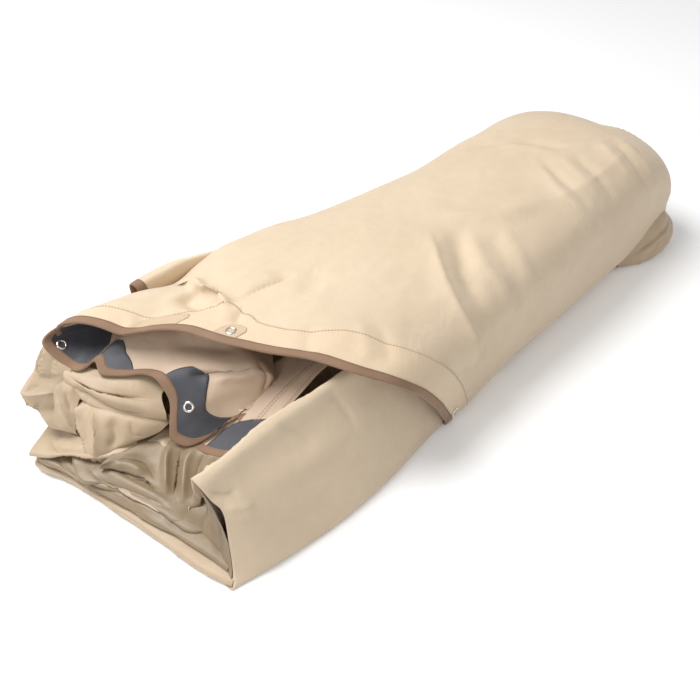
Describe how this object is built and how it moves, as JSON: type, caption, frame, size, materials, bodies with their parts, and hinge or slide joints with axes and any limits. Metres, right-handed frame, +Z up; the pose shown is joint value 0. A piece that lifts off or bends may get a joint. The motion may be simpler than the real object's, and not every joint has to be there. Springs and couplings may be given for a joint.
{
  "type": "fly sheet",
  "caption": "Waterproof rain fly folded and rolled into a long soft bundle, with taped edges, dark reinforcing patches and metal eyelets along its hem.",
  "frame": {"origin": "on the floor, at the middle of the bundle's outline", "axes": "+X along the bundle from its open end to its closed end, +Y to the back, +Z up; -Y is the side whose hem corner comes down to the floor"},
  "size_m": [1.016, 0.4083, 0.206],
  "materials": {
    "outer_cloth": "matt coated polyester, tan, fine plain weave",
    "inner_cloth": "semi-gloss waterproof coating, pinkish tan",
    "binding_tape": "matt woven tape, brown",
    "patch": "satin reinforcing cloth, dark grey",
    "eyelet_metal": "bright nickel plate"
  },
  "bodies": {
    "root": {"folded_layer_1": "outer_cloth", "folded_layer_2": "outer_cloth", "folded_layer_3": "outer_cloth", "folded_layer_4": "outer_cloth", "front_fold": "outer_cloth", "rear_fold": "outer_cloth", "crumpled_fold": "inner_cloth", "inner_roll": "inner_cloth", "centre_roll": "inner_cloth", "far_end_tuck": "outer_cloth", "outer_wrap": "outer_cloth", "outer_hem": "outer_cloth", "outer_hem_binding": "binding_tape", "hem_patch_1": "patch", "hem_patch_2": "patch", "back_flap": "outer_cloth", "back_flap_binding": "binding_tape", "inner_turn": "inner_cloth", "inner_turn_binding": "binding_tape", "inner_patch_1": "patch", "inner_patch_2": "patch", "deep_layer": "inner_cloth", "deep_layer_binding": "binding_tape", "deep_patch": "patch", "seam_tape": "inner_cloth", "eyelet_1": "eyelet_metal", "eyelet_washer_1": "eyelet_metal", "eyelet_2": "eyelet_metal", "eyelet_washer_2": "eyelet_metal", "eyelet_3": "eyelet_metal", "eyelet_washer_3": "eyelet_metal", "eyelet_4": "eyelet_metal", "eyelet_washer_4": "eyelet_metal"}
  },
  "joints": []
}
